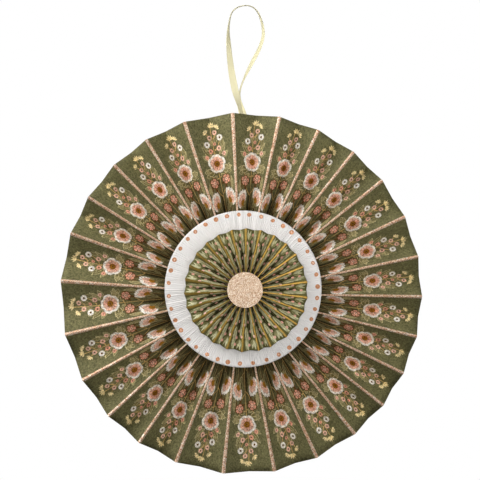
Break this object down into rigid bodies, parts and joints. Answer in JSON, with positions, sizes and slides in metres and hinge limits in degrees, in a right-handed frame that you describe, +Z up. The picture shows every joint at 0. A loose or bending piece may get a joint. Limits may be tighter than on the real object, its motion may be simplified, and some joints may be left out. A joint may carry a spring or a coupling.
{
  "type": "paper fan medallion",
  "caption": "Round hanging decoration of radially pleated paper: a large fan, a white fluted ring, a small fan and a glitter centre disc, on a ribbon loop.",
  "frame": {"origin": "centre of the large fan, on the rear face of the card disc behind it", "axes": "+Z up as it hangs, +Y out of the back (the printed front faces -Y), +X to the viewer's right"},
  "size_m": [0.3046, 0.0402, 0.3955],
  "materials": {
    "floral_paper": "matt olive paper with a small floral print and rose-gold glitter lines on the ridges",
    "white_paper": "matt white fluted paper with copper dots near its edge",
    "leaf_paper": "matt green paper with a leaf print, pink dots and mustard lines",
    "grey_board": "plain grey board",
    "glitter_card": "fine champagne glitter",
    "plain_card": "plain ivory card",
    "satin_ribbon": "pale straw satin"
  },
  "bodies": {
    "root": {"large_fan_right": "floral_paper", "large_fan_left": "floral_paper", "white_fluted_disc": "white_paper", "small_fan": "leaf_paper", "small_fan_pad": "grey_board", "centre_disc": "glitter_card", "back_disc": "plain_card", "hanging_ribbon": "satin_ribbon"}
  },
  "joints": []
}
